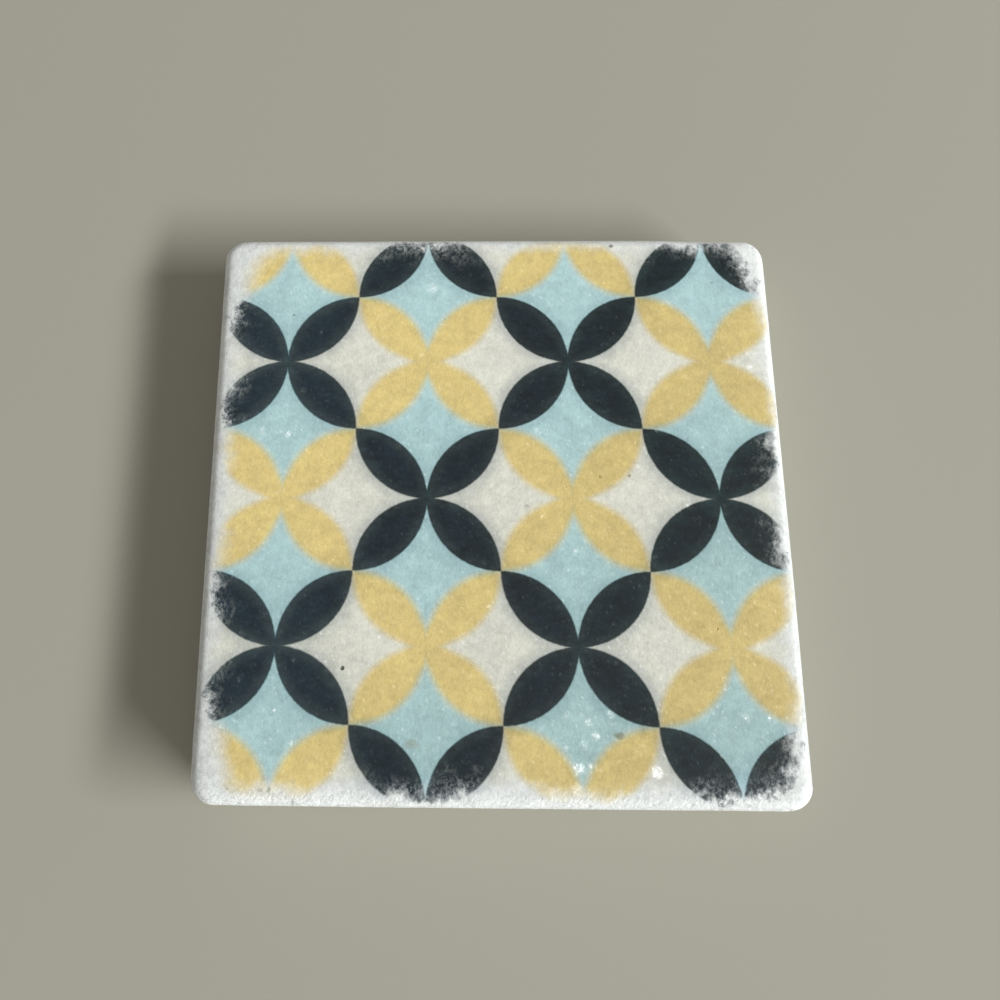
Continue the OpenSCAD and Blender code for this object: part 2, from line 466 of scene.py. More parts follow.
def marble_tone(w, place, edge):
    """How light the stone is at a place, as a factor, from its clouds down to its crystals, with painted
    light and painted shade in it.
    """
    x, y, z = w.parts(place)
    stretched = w.vector("MULTIPLY", place, (1.0, 0.6, 1.0))
    crystals = w.minus(w.parts(w.cells(w.shaken(place, 2.0, 0.7), 1.0)["Color"])[0], 0.5)
    front = w.step(y, -49.0, -44.5, 1.0, 0.0)
    worn = w.step(edge, -2.0, 1.5, 0.35, 0.0)
    rougher = w.plus(w.plus(1.0, worn), w.times(front, 0.35))
    sunlit_edge = w.step(x, 48.3, 49.4)
    wall = w.step(z, TOP - 2.4, TOP - 1.2, 1.0, 0.0)
    coarse = weighted_sum(
        w,
        (centred(w, place, 0.07, 2.0), 0.12),
        (centred(w, place, 0.2, 2.0), 0.12),
        (centred(w, place, 0.62, 3.0, 0.6), 0.38),
        (front, 0.16),
        # Painted light: lighter towards the back, darker towards the front
        (w.step(y, -40.0, 45.0, -0.4, 0.6), 0.09),
        # Painted light: a glow along the right border
        (w.step(x, 39.0, 46.0), 0.03),
        # Painted light: lighter at the back right corner
        (w.times(w.step(x, 40.0, 46.0), w.step(y, 36.0, 43.0)), 0.07),
        # Painted shade on the sunlit right edge, which faces the lamp
        (sunlit_edge, SUNLIT_EDGE_PAINTED_SHADE),
        (wall, WALL_TONE),
        # Further painted shade on the wall under the sunlit right edge
        (w.times(wall, sunlit_edge), SUNLIT_WALL_PAINTED_SHADE),
    )
    fine = weighted_sum(
        w,
        (centred(w, stretched, 2.2, 3.0, 0.65), 0.42),
        (centred(w, place, 5.5, 2.0, 0.6), 0.44),
        (crystals, 0.08),
    )
    return w.plus(w.plus(1.0, coarse), w.times(fine, rougher))


def crystal_nests(w, x, y, place):
    """Share of pale nests full of crystals, which lie at random, and where the photograph shows them."""
    shaken = w.shaken(place, 1.1, 1.1)
    random_nests = w.cells(shaken, 0.24)
    luck, spread, _ = w.parts(random_nests["Color"])
    chosen = w.step(w.plus(luck, w.times(w.minus(x, y), 0.003)), 0.5, 0.8, 0.0, 0.7)
    near = w.step(random_nests["Distance"], 0.02, w.step(spread, 0.0, 1.0, 0.12, 0.24), 1.0, 0.0)
    nests = w.times(chosen, near)
    for (nest_x, nest_y), reach, strength in NESTS:
        away = w.vector("DISTANCE", shaken, (nest_x, nest_y, TOP))
        nests = w.larger(nests, w.step(away, 0.15 * reach, reach, strength, 0.0))
    return nests


def crystal_flecks_and_glints(w, place, edge):
    """Share of white where crystals catch the light, painted into the colour as glints: bright grains in
    their nests, and single slivers.
    """
    x, y, z = w.parts(place)
    nests = crystal_nests(w, x, y, place)
    grains = w.plus(w.noise(place, 2.2, 3.0, 0.7), w.times(nests, 0.2))
    bright = w.times(w.step(grains, 0.52, 0.7), w.step(nests, 0.0, 0.8))
    leaning_x = w.times(w.plus(x, w.times(y, 0.45)), 1.7)
    leaning = w.whole(leaning_x, w.times(w.minus(y, w.times(x, 0.3)), 1.1), z)
    small = w.cells(w.shaken(leaning, 2.5, 0.7), 1.1)
    glints = w.math("POWER", w.parts(small["Color"])[0], 6.0)
    faint = w.times(glints, w.step(small["Distance"], 0.05, 0.6, 0.42, 0.0))
    slivers = w.cells(w.shaken(leaning, 1.2, 1.3), 1.0)
    luck, gleam, _ = w.parts(slivers["Color"])
    luck = w.plus(luck, w.step(edge, -1.5, 0.5, 0.14, 0.0))
    lucky = w.times(w.math("GREATER_THAN", luck, 0.945), w.step(gleam, 0.3, 1.0, 0.15, 0.65))
    single = w.times(lucky, w.step(slivers["Distance"], 0.08, 0.34, 1.0, 0.0))
    haze = w.larger(w.times(nests, 0.33), faint)
    return w.larger(w.larger(bright, single), haze)


def tinted(w, colour, share, tint):
    """The colour seen through a dye of the given tint, which covers a share of it."""
    return w.vector("MULTIPLY", colour, w.mix(share, (1.0, 1.0, 1.0), tint))


def dyed_colour(w, place, masks, tone):
    """Colour of the stone with its pale ground and its three dyes."""
    x, y, _ = w.parts(place)
    coat = w.mix(w.step(w.noise(place, 0.17, 3.0, 0.6), 0.35, 0.65), COATED_CREAM, COATED_GREY)
    colour = w.scaled(w.mix(masks["Coat"], BARE_WHITE, coat), tone)

    shade = w.plus(masks["Depth"], w.times(centred(w, place, 0.25, 3.0), 2.0))
    navy = w.mix(w.step(shade, -0.2, 2.3), NAVY_RIM, NAVY_MIDDLE)
    navy = w.mix(w.step(w.noise(place, 1.6, 4.0, 0.7), 0.45, 0.85), navy, NAVY_THIN)
    streaks = w.vector("MULTIPLY", place, (0.6, 1.1, 1.0))
    waves = ((0.45, 1.1), (1.1, 1.1), (2.8, 0.7))
    uneven = weighted_sum(w, *((centred(w, streaks, scale, 2.0), weight) for scale, weight in waves))
    left = w.step(x, -36.0, -14.0, 0.35, 0.0)
    navy = w.scaled(navy, w.plus(w.step(x, -50.0, 50.0, 1.16, 0.76), w.plus(uneven, left)))
    navy = tinted(w, navy, w.step(x, 0.0, 35.0), NAVY_RIGHT_TINT)
    mustard = w.mix(w.step(w.noise(place, 0.8, 3.0), 0.35, 0.7), MUSTARD_TINT, MUSTARD_DEEP)
    mustard = w.scaled(mustard, w.step(x, -30.0, 45.0, 1.04, 0.9))
    blue = w.mix(w.step(w.minus(x, y), -10.0, 60.0), BLUE_TINT, BLUE_DEEP)
    for name, tint in (("Bleed", BLED_GREY), ("Blue", blue), ("Mustard", mustard), ("Navy", navy)):
        colour = tinted(w, colour, masks[name], tint)
    return colour


def with_crystals_and_glints(w, colour, masks, flecks_and_glints):
    """The colour with its bright crystals, which the dyes tint less than the rest; their white is partly the
    crystals' own and partly painted glint.
    """
    crystal = tinted(w, CRYSTAL_GLINT_WHITE, w.times(masks["Mustard"], 0.65), MUSTARD_TINT)
    crystal = tinted(w, crystal, w.times(masks["Blue"], 0.3), BLUE_TINT)
    return w.mix(w.times(flecks_and_glints, w.step(masks["Navy"], 0.0, 1.0, 0.85, 0.07)), colour, crystal)


def with_marks(w, colour, place, moved):
    """The colour with the dark marks of the top face. Their outlines follow a place that is moved about."""
    x, y, z = w.parts(moved)
    patchy = w.step(w.noise(place, 2.6, 3.0, 0.6), 0.3, 0.6, 0.45, 1.0)
    patchy = w.times(patchy, w.step(z, TOP - 2.0, TOP - 1.0))
    for (mark_x, mark_y), (reach_x, reach_y), mark_colour, strength in MARKS:
        off_x = w.math("DIVIDE", w.minus(x, mark_x), reach_x)
        off_y = w.math("DIVIDE", w.minus(y, mark_y), reach_y)
        share = w.times(w.step(squares(w, off_x, off_y), 0.05, 1.5, strength, 0.0), patchy)
        colour = w.mix(share, colour, mark_colour)
    return colour


def front_creases(w, moved):
    """Creases that slant along the worn front edge: the factor of painted shade that darkens it along them,
    and their relief.
    """
    x, y, z = w.parts(moved)
    slanting = w.whole(weighted_sum(w, (x, 0.85), (y, -0.6)), weighted_sum(w, (x, 0.3), (y, 0.4)), z)
    creases = w.math("ABSOLUTE", centred(w, slanting, 1.0, 2.0, 0.5))
    near_front = w.minus(1.0, w.step(y, -48.9, -46.0))
    # Painted shade down in the creases, with a faint lift between them
    painted_crease_shade = w.times(w.step(creases, 0.004, 0.03, -0.22, 0.02), near_front)
    painted_crease_shade = w.times(painted_crease_shade, w.step(x, -25.0, 10.0, 1.0, 0.4))
    return w.plus(1.0, painted_crease_shade), w.times(creases, near_front)


def make_printed_marble():
    """Colour, roughness and relief of the printed stone at a place in millimetres."""
    outputs = [("Roughness", "NodeSocketFloat"), ("Relief", "NodeSocketFloat")]
    outputs += [("Colour", "NodeSocketColor"), ("Facet", "NodeSocketVector")]
    tree, w, given, result = new_tree("ShaderNodeTree", "printed_marble", PLACE_ONLY, outputs)
    place = given["Place"]
    masks = w.add("ShaderNodeGroup", {"Place": place}, node_tree=make_print_masks()).outputs
    tone = marble_tone(w, place, masks["Edge"])
    flecks_and_glints = crystal_flecks_and_glints(w, place, masks["Edge"])
    moved = w.shaken(place, 1.4, 0.6)
    colour = with_crystals_and_glints(w, dyed_colour(w, place, masks, tone), masks, flecks_and_glints)
    colour = with_marks(w, colour, place, moved)
    crease_shade, creases = front_creases(w, moved)
    w.feed(result["Colour"], w.scaled(colour, crease_shade))

    rough = w.plus(STONE_ROUGHNESS, w.times(w.minus(tone, 1.0), -0.8))
    w.feed(result["Roughness"], w.minus(rough, w.times(flecks_and_glints, 0.32), clamp=True))
    facets = w.vector("SUBTRACT", w.cells(w.shaken(place, 2.0, 0.5), 1.6)["Color"], (0.5, 0.5, 0.5))
    facets = w.vector("ADD", w.scaled(facets, FACET_TILT), FACET_LEAN)
    w.feed(result["Facet"], w.scaled(facets, flecks_and_glints))
    w.feed(result["Relief"], weighted_sum(w, (tone, 1.0), (flecks_and_glints, 0.12), (creases, 5.0)))
    return tree


def plain_material(name):
    """A new material, its wires, its shader and the place on its piece, in millimetres."""
    material = bpy.data.materials.new(name)
    material.use_nodes = True
    w = Wires(material.node_tree)
    place = w.scaled(w.add("ShaderNodeTexCoord").outputs["Object"], 1 / MM)
    return material, w, material.node_tree.nodes["Principled BSDF"], place


def bumps(w, height, relief):
    """A surface that follows a height, with the given strength and size of relief."""
    strength, size = relief
    feeds = {"Strength": strength, "Distance": size * MM, "Height": height}
    return w.add("ShaderNodeBump", feeds).outputs["Normal"]


def printed_stone_material(name, marble, subsurface):
    """The printed stone's finish, with the share of light that wanders inside the stone."""
    material, w, shader, place = plain_material(name)
    printed = w.add("ShaderNodeGroup", {"Place": place}, node_tree=marble).outputs
    w.feed(shader.inputs["Base Color"], printed["Colour"])
    w.feed(shader.inputs["Roughness"], printed["Roughness"])
    leaning = w.vector("ADD", bumps(w, printed["Relief"], STONE_RELIEF), printed["Facet"])
    w.feed(shader.inputs["Normal"], w.vector("NORMALIZE", leaning))
    shader.inputs["Specular IOR Level"].default_value = STONE_GLOSS
    shader.inputs["Subsurface Weight"].default_value = subsurface
    shader.inputs["Subsurface Radius"].default_value = GLOW_RADIUS
    shader.inputs["Subsurface Scale"].default_value = GLOW_SCALE
    return material


def rubber_material():
    """Black moulded rubber with a fine matte grain and a little dust."""
    material, w, shader, place = plain_material("moulded_rubber")
    grain = w.noise(place, 7.0, 3.0, 0.6)
    dust = w.step(w.noise(place, 1.3, 4.0, 0.65), 0.55, 0.8, 0.0, 0.35)
    w.feed(shader.inputs["Base Color"], w.mix(dust, RUBBER_BLACK, RUBBER_DUST))
    w.feed(shader.inputs["Roughness"], w.step(grain, 0.3, 0.7, 0.5, 0.68))
    w.feed(shader.inputs["Normal"], bumps(w, grain, RUBBER_RELIEF))
    shader.inputs["Specular IOR Level"].default_value = RUBBER_GLOSS
    return material


def adhesive_material():
    """Milky adhesive film with small trapped bubbles."""
    material, w, shader, place = plain_material("milky_film")
    bubbles = w.step(w.cells(place, 1.6)["Distance"], 0.1, 0.22, 1.0, 0.0)
    haze = w.noise(place, 0.8, 3.0)
    film = w.mix(w.step(haze, 0.3, 0.7), FILM_GREY, FILM_MILK)
    w.feed(shader.inputs["Base Color"], w.mix(bubbles, film, FILM_BUBBLE))
    w.feed(shader.inputs["Roughness"], w.step(haze, 0.3, 0.7, 0.3, 0.42))
    return material


def new_object(name, data):
    thing = bpy.data.objects.new(name, data)
    bpy.context.scene.collection.objects.link(thing)
    return thing


def new_mesh(name, points, faces=()):
    mesh = bpy.data.meshes.new(name)
    mesh.from_pydata(points, [], faces)
    return mesh


def ring_faces(first, rings, around):
    """Faces between rings of points, which follow each other from the first point's number on."""
    faces = []
    for ring in range(rings - 1):
        upper = first + ring * around
        lower = upper + around
        for i in range(around):
            following = (i + 1) % around
            faces.append((upper + i, lower + i, lower + following, upper + following))
    return faces


# Divisions of the tile's mesh: along a side, round a corner, and down each stretch of the rim
SIDE_STEPS = 224
TOP_SKIP = 2
BOTTOM_SKIP = 8
CORNER_STEPS = 14
TOP_FLAT_STEPS = 4
TOP_ARC_STEPS = 9
WALL_STEPS = 14
BOTTOM_ARC_STEPS = 5
BOTTOM_FLAT_STEPS = 3
CORE_HALF = TILE_HALF - CORNER_RADIUS
# Points nearer to each other than this are one
MERGE_REACH = 0.001 * MM
# Points nearer to the underside than this stay in it
FLAT_REACH = 0.0001 * MM
# How deep the waves, bumps and grain of the tumbled sides are, and the swell of the faces, in millimetres
WAVE_WEAR = 0.03
BUMP_WEAR = 0.015
GRAIN_WEAR = 0.012
MORE_GRAIN_WEAR = 0.008
SWELL = 0.012
# How much further each side is worn back, and where along it, in millimetres
LEFT_WEAR = 0.08
LEFT_BACK_WEAR = 0.1
RIGHT_FRONT_WEAR = 0.16
FRONT_LEFT_WEAR = 0.08
BACK_RIGHT_WEAR = 0.28


def rim_profile():
    """Distances out from the core and heights, from the top face down to the underside."""
    top_flat = CORNER_RADIUS - TOP_EDGE_RADIUS
    bottom_flat = CORNER_RADIUS - BOTTOM_EDGE_RADIUS
    wall_top = TILE_TOP - TOP_EDGE_RADIUS
    wall_bottom = TILE_BOTTOM + BOTTOM_EDGE_RADIUS
    points = [(top_flat * i / TOP_FLAT_STEPS, TILE_TOP) for i in range(TOP_FLAT_STEPS)]
    for i in range(TOP_ARC_STEPS):
        turn = math.pi / 2 * i / TOP_ARC_STEPS
        height = TILE_TOP - TOP_EDGE_RADIUS * (1 - math.cos(turn))
        points.append((top_flat + TOP_EDGE_RADIUS * math.sin(turn), height))
    for i in range(WALL_STEPS):
        points.append((CORNER_RADIUS, wall_top + (wall_bottom - wall_top) * i / WALL_STEPS))
    for i in range(BOTTOM_ARC_STEPS):
        turn = math.pi / 2 * i / BOTTOM_ARC_STEPS
        height = wall_bottom - BOTTOM_EDGE_RADIUS * math.sin(turn)
        points.append((bottom_flat + BOTTOM_EDGE_RADIUS * math.cos(turn), height))
    points += [(bottom_flat * (1 - i / BOTTOM_FLAT_STEPS), TILE_BOTTOM) for i in range(BOTTOM_FLAT_STEPS + 1)]
    return points


def rim_stations():
    """Places round the core with the direction that points out of the tile, anticlockwise."""
    stations = []
    for side in range(4):
        turn = side * math.pi / 2
        out = Vector((math.sin(turn), -math.cos(turn)))
        along = Vector((math.cos(turn), math.sin(turn)))
        for i in range(SIDE_STEPS + 1):
            stations.append((out * CORE_HALF + along * CORE_HALF * (2 * i / SIDE_STEPS - 1), out))
        for i in range(1, CORNER_STEPS):
            bend = turn + math.pi / 2 * i / CORNER_STEPS
            stations.append((out * CORE_HALF + along * CORE_HALF, Vector((math.sin(bend), -math.cos(bend)))))
    return stations


def core_face(points, faces, height, skip, flip):
    """A grid over the core that is coarser than the rim, and takes up the rim's points along its sides."""
    numbers = {}

    def number(i, j):
        if (i, j) not in numbers:
            numbers[i, j] = len(points)
            x, y = (CORE_HALF * (2 * step / SIDE_STEPS - 1) for step in (i, j))
            points.append((x, y, height))
        return numbers[i, j]

    for j in range(0, SIDE_STEPS, skip):
        for i in range(0, SIDE_STEPS, skip):
            right, top = i + skip, j + skip
            face = [number(i + k, j) for k in range(skip if j == 0 else 1)]
            face += [number(right, j + k) for k in range(skip if right == SIDE_STEPS else 1)]
            face += [number(right - k, top) for k in range(skip if top == SIDE_STEPS else 1)]
            face += [number(i, top - k) for k in range(skip if i == 0 else 1)]
            faces.append(face[::-1] if flip else face)


def slab_mesh(name):
    """The tile before it is worn: two grids joined by rings that follow the rim's profile."""
    points = []
    faces = []
    core_face(points, faces, TILE_TOP, TOP_SKIP, False)
    core_face(points, faces, TILE_BOTTOM, BOTTOM_SKIP, True)
    stations = rim_stations()
    profile = rim_profile()
    faces += ring_faces(len(points), len(profile), len(stations))
    for reach, height in profile:
        points += [(*(place + out * reach), height) for place, out in stations]
    mesh = new_mesh(name, points, faces)
    sheet = bmesh.new()
    sheet.from_mesh(mesh)
    bmesh.ops.remove_doubles(sheet, verts=sheet.verts, dist=MERGE_REACH)
    bmesh.ops.recalc_face_normals(sheet, faces=sheet.faces)
    sheet.to_mesh(mesh)
    sheet.free()
    return mesh


def smooth_step(value, low, high):
    share = min(max((value - low) / (high - low), 0.0), 1.0)
    return share * share * (3 - 2 * share)


def worn_depth(place):
    """How far tumbling has worn the stone back at a place, in millimetres."""
    x, y, z = place / MM
    half = TILE_HALF / MM
    core = CORE_HALF / MM
    reach = math.hypot(max(abs(x) - core, 0.0), max(abs(y) - core, 0.0))
    rim = smooth_step(reach, 0.6, 3.2)
    lower = smooth_step(TOP - z, 2.0, 9.0)
    point = Vector((x, y, z))
    waves = 0.5 + 0.5 * noise.noise(point / 13)
    bumps = noise.noise(point / 3.1 + Vector((7, 0, 0)))
    grain = noise.noise(point / 1.25) + 0.6 * noise.noise(point / 0.8 + Vector((0, 5, 0)))
    front, left, right, back = (smooth_step(out, half - 6, half - 1) for out in (-y, -x, x, y))
    strength = GRAIN_WEAR * (1 + front) + MORE_GRAIN_WEAR * (left + lower)
    depth = WAVE_WEAR * waves + BUMP_WEAR * (1 + bumps) + strength * (1 + grain)
    depth += left * (LEFT_WEAR + LEFT_BACK_WEAR * smooth_step(y, -20, 25))
    depth += right * RIGHT_FRONT_WEAR * smooth_step(-y, 10, 45)
    more_front = front * FRONT_LEFT_WEAR * smooth_step(-x, 20, 45)
    depth += more_front + back * BACK_RIGHT_WEAR * smooth_step(x, 27, 42)
    swell = SWELL * (noise.noise(point / 17 + Vector((3, 3, 3))) - 1)
    return rim * depth - (1 - rim) * swell * smooth_step(z, TILE_BOTTOM / MM + 1, TOP - 1)


def mesh_vectors(items, name):
    """A mesh's points or normals, as rows of three numbers."""
    numbers = np.empty(len(items) * 3)
    items.foreach_get(name, numbers)
    return numbers.reshape(-1, 3)


def mesh_points(mesh):
    return mesh_vectors(mesh.vertices, "co")


def mesh_normals(mesh):
    return mesh_vectors(mesh.vertex_normals, "vector")


def move_points(mesh, points):
    mesh.vertices.foreach_set("co", points.ravel())
    mesh.update()


def worn_slab():
    """The whole tumbled tile, before its dyes are told apart."""
    mesh = slab_mesh("worn_slab")
    points = mesh_points(mesh)
    depths = np.array([worn_depth(Vector(point)) for point in points]) * MM
    sunk = points - mesh_normals(mesh) * depths[:, None]
    sunk[points[:, 2] < TILE_BOTTOM + FLAT_REACH, 2] = TILE_BOTTOM
    move_points(mesh, sunk)
    return mesh


def stone_under_dyes(slab):
    """The part of the tile that the dyes don't reach, a dye's depth inside its surface."""
    mesh = slab.copy()
    move_points(mesh, mesh_points(slab) - mesh_normals(slab) * DYE_DEPTH)
    return mesh


def rounded_square(half, corner, steps):
    points = []
    for side in range(4):
        centre = Vector((1 if side in (0, 3) else -1, 1 if side in (0, 1) else -1)) * (half - corner)
        for i in range(steps + 1):
            turn = math.pi / 2 * (side + i / steps)
            points.append(centre + Vector((math.cos(turn), math.sin(turn))) * corner)
    return points


def printed_area_mesh():
    """Upright block inside which the print has not been worn away."""
    outline = rounded_square(TILE_HALF - WORN_BORDER, PRINT_CORNER_RADIUS, PRINT_CORNER_STEPS)
    around = len(outline)
    heights = (TILE_TOP - TOP_EDGE_RADIUS, TILE_TOP + 1 * MM)
    points = [(*place, height) for height in heights for place in outline]
    faces = [tuple(reversed(range(around))), tuple(range(around, 2 * around))]
    faces += [(i, (i + 1) % around, around + (i + 1) % around, around + i) for i in range(around)]
    return new_mesh("printed_area", points, faces)


# Inputs of the trees that make the print's prisms
PRISM_SIZES = [("Circle Radius", "NodeSocketFloat"), ("Gap", "NodeSocketFloat")]
# Steps from the first to the last petal and star of a row, enough to reach past the tile
PETAL_STEPS = 9
STAR_STEPS = 5


def make_build_tree(name, inputs):
    """An empty geometry tree with the given inputs."""
    made = new_tree("GeometryNodeTree", name, inputs, [("Geometry", "NodeSocketGeometry")])
    made[0].is_modifier = True
    return made


def cut(w, operation, first, *others):
    """Joins, trims or cuts closed meshes with each other."""
    node = w.add("GeometryNodeMeshBoolean", operation=operation, solver="MANIFOLD")
    if operation == "DIFFERENCE":
        w.feed(node.inputs["Mesh 1"], first)
    else:
        others = (first, *others)
    for item in others:
        w.feed(node.inputs["Mesh 2"], item)
    return node.outputs["Mesh"]


def shifted(w, geometry, shift):
    return w.add("GeometryNodeTransform", {"Geometry": geometry, "Translation": shift}).outputs["Geometry"]


def circle_prism(w, radius):
    feeds = {"Vertices": CIRCLE_SIDES, "Radius": radius, "Depth": 2 * TOP_EDGE_RADIUS}
    return w.add("GeometryNodeMeshCylinder", feeds).outputs["Mesh"]


def grid_of_points(w, spacing, steps):
    """Points a spacing apart on both sides of the pattern's centre, at the height of the top face."""
    size = w.times(spacing, float(steps))
    feeds = {"Size X": size, "Size Y": size, "Vertices X": steps + 1, "Vertices Y": steps + 1}
    grid = w.add("GeometryNodeMeshGrid", feeds).outputs["Mesh"]
    return shifted(w, grid, (PRINT_PLACE.x, PRINT_PLACE.y, TILE_TOP))


def realized(w, geometry):
    return w.add("GeometryNodeRealizeInstances", {"Geometry": geometry}).outputs["Geometry"]


def copies(w, points, shape, **others):
    """The shape set at each point, as plain mesh. The others feed further inputs of the node."""
    feeds = {"Points": points, "Instance": shape, **others}
    return realized(w, w.add("GeometryNodeInstanceOnPoints", feeds).outputs["Instances"])


def make_petal_prisms():
    """Upright prisms over every petal of one colour, each the overlap of two circles."""
    tree, w, given, result = make_build_tree("petal_prisms", [*PRISM_SIZES, ("Navy", "NodeSocketFloat")])
    radius = given["Circle Radius"]
    disc = circle_prism(w, w.minus(radius, w.times(given["Gap"], 0.5)))
    centres = [w.times(radius, sign) for sign in (-0.5, 0.5)]
    petal = cut(w, "INTERSECT", *(shifted(w, disc, w.whole(centre, centre)) for centre in centres))

    # Column and row of each cell of the circle grid, the cell right of the centre being 0
    x, y, _ = w.parts(w.add("GeometryNodeInputPosition").outputs[0])
    column = w.math("FLOOR", w.math("DIVIDE", w.minus(x, PRINT_PLACE.x), radius))
    row = w.math("FLOOR", w.math("DIVIDE", w.minus(y, PRINT_PLACE.y), radius))
    falls = w.math("FLOORED_MODULO", w.plus(column, row), 2.0)
    flower_column = w.math("FLOOR", w.times(column, 0.5))
    flower_row = w.math("FLOOR", w.times(w.plus(row, 1.0), 0.5))
    navy = w.math("FLOORED_MODULO", w.plus(flower_column, flower_row), 2.0)
    chosen = w.math("COMPARE", navy, given["Navy"], 0.5)
    turn = w.whole(z=w.times(falls, math.pi / 2))
    petals = copies(w, grid_of_points(w, radius, PETAL_STEPS), petal, Selection=chosen, Rotation=turn)
    w.feed(result["Geometry"], petals)
    return tree


def make_star_prisms():
    """Upright prisms over the pale blue stars, each a square less the four circles round it."""
    tree, w, given, result = make_build_tree("star_prisms", PRISM_SIZES)
    radius = given["Circle Radius"]
    disc = circle_prism(w, w.plus(radius, w.times(given["Gap"], 0.5)))
    size = w.whole(w.times(radius, 2.0), w.times(radius, 2.0), 1.9 * TOP_EDGE_RADIUS)
    star = w.add("GeometryNodeMeshCube", {"Size": size}).outputs["Mesh"]
    for sign_x in (-1.0, 1.0):
        for sign_y in (-1.0, 1.0):
            centre = w.whole(w.times(radius, sign_x), w.times(radius, sign_y))
            star = cut(w, "DIFFERENCE", star, shifted(w, disc, centre))
    w.feed(result["Geometry"], copies(w, grid_of_points(w, w.times(radius, 2.0), STAR_STEPS), star))
    return tree


def made_by(name, tree, **values):
    """A plain mesh made by a geometry tree whose inputs have the given values."""
    maker = new_object(name, bpy.data.meshes.new(name))
    modifier = maker.modifiers.new(name, "NODES")
    modifier.node_group = tree
    for item in tree.interface.items_tree:
        key = item.name.replace(" ", "_").lower()
        if item.in_out == "INPUT" and key in values:
            modifier[item.identifier] = values[key]
    maker.update_tag()
    bpy.context.view_layer.update()
    mesh = bpy.data.meshes.new_from_object(maker.evaluated_get(bpy.context.evaluated_depsgraph_get()))
    bpy.data.objects.remove(maker)
    mesh.name = name
    return mesh


def from_object(w, thing):
    return w.add("GeometryNodeObjectInfo", {"Object": thing}).outputs["Geometry"]


def with_material(w, geometry, material):
    feeds = {"Geometry": realized(w, geometry), "Material": material}
    return w.add("GeometryNodeSetMaterial", feeds).outputs["Geometry"]


# What the pieces of the tile are cut from and with
BODIES = ("Slab", "Under Dyes", "Printed Area", "Pits")


def make_print_tree(name):
    """An empty tree for a piece cut from the slab, and the meshes that it is cut from and with."""
    inputs = [(body, "NodeSocketObject") for body in BODIES]
    inputs += [*PRISM_SIZES, ("Material", "NodeSocketMaterial")]
    tree, w, given, result = make_build_tree(name, inputs)
    return tree, w, given, result, [from_object(w, given[body]) for body in BODIES]


def dye_prisms(w, given, prisms, colour):
    """The prisms of one dye. The colour gives the value of the input that chooses it, if any."""
    sizes = {name: given[name] for name, _ in PRISM_SIZES}
    return w.add("GeometryNodeGroup", {**sizes, **colour}, node_tree=prisms).outputs[0]


def make_dye_tree(name, prisms, colour):
    """One dye: what its prisms cover of the slab's skin, less the pits."""
    tree, w, given, result, (slab, under, area, pits) = make_print_tree(name)
    covered = cut(w, "INTERSECT", cut(w, "INTERSECT", dye_prisms(w, given, prisms, colour), area), slab)
    skin = cut(w, "DIFFERENCE", covered, under, pits)
    w.feed(result["Geometry"], with_material(w, skin, given["Material"]))
    return tree


def make_stone_tree(petals, stars):
    """The stone that shows round the dyes and carries them."""
    tree, w, given, result, (stone, under, area, pits) = make_print_tree("bare_stone")
    for prisms, colour in ((petals, {"Navy": 1.0}), (petals, {"Navy": 0.0}), (stars, {})):
        stone = cut(w, "DIFFERENCE", stone, cut(w, "INTERSECT", dye_prisms(w, given, prisms, colour), area))
    stone = cut(w, "DIFFERENCE", cut(w, "UNION", stone, under), pits)
    w.feed(result["Geometry"], with_material(w, stone, given["Material"]))
    return tree


# Pits in the top face: place, radius of the scooping ball, and depth, in millimetres
TOP_PITS = (
    (-25.6, -28.2, 0.42, 0.3),
    (36.0, -21.5, 0.3, 0.12),
    (-9.0, 33.5, 0.3, 0.1),
    (12.0, 2.5, 0.25, 0.1),
    (-44.5, 22.0, 0.4, 0.14),
)
# Chips and pits at random: how many, and the least and most radius and depth, in millimetres
FRONT_CHIPS = 16, (0.8, 1.8), (0.08, 0.2)
TOP_CHIPS = 16, (0.8, 2.0), (0.06, 0.16)
BOTTOM_CHIPS = 16, (1.0, 2.4), (0.1, 0.3)
WALL_PITS = 60, (0.2, 0.55), (0.08, 0.25)
PIT_SEED = 11
BALL_SEED = 5
# Where pits go, by the surface's normal: least and most upright part on the edges, most on a wall, and
# least forward part on the front edge
TOP_EDGE_TILT = (0.25, 0.9)
BOTTOM_EDGE_TILT = (0.2, 0.9)
WALL_TILT = 0.3
FRONT_TURN = 0.3


def pit_points(slab):
    """Centres and radii of the balls that scoop the pits and chips out of the slab."""
    dice = random.Random(PIT_SEED)
    points = mesh_points(slab)
    normals = mesh_normals(slab)
    balls = []

    def scoop(place, normal, radius, depth):
        centre = Vector(place) + Vector(normal) * (radius - depth) * MM
        if all((centre - other).length > (radius + size) * MM for other, size in balls):
            balls.append((centre, radius))

    for x, y, radius, depth in TOP_PITS:
        scoop((x * MM, y * MM, TILE_TOP), (0, 0, 1), radius, depth)
    height = points[:, 2]
    upright = np.abs(normals[:, 2])

    def tilted(least, most):
        return (upright > least) & (upright < most)

    top_edge = (height > TILE_TOP - TOP_EDGE_RADIUS) & tilted(*TOP_EDGE_TILT)
    front = top_edge & (normals[:, 1] < -FRONT_TURN)
    wall = (upright < WALL_TILT) & (height < TILE_TOP - TOP_EDGE_RADIUS)
    bottom_edge = (height < TILE_BOTTOM + BOTTOM_EDGE_RADIUS) & tilted(*BOTTOM_EDGE_TILT)
    groups = ((front, FRONT_CHIPS), (top_edge, TOP_CHIPS), (bottom_edge, BOTTOM_CHIPS), (wall, WALL_PITS))
    for group, (count, sizes, depths) in groups:
        numbers = np.flatnonzero(group)
        for _ in range(count):
            number = numbers[dice.randrange(len(numbers))]
            scoop(points[number], normals[number], dice.uniform(*sizes), dice.uniform(*depths))
    return balls


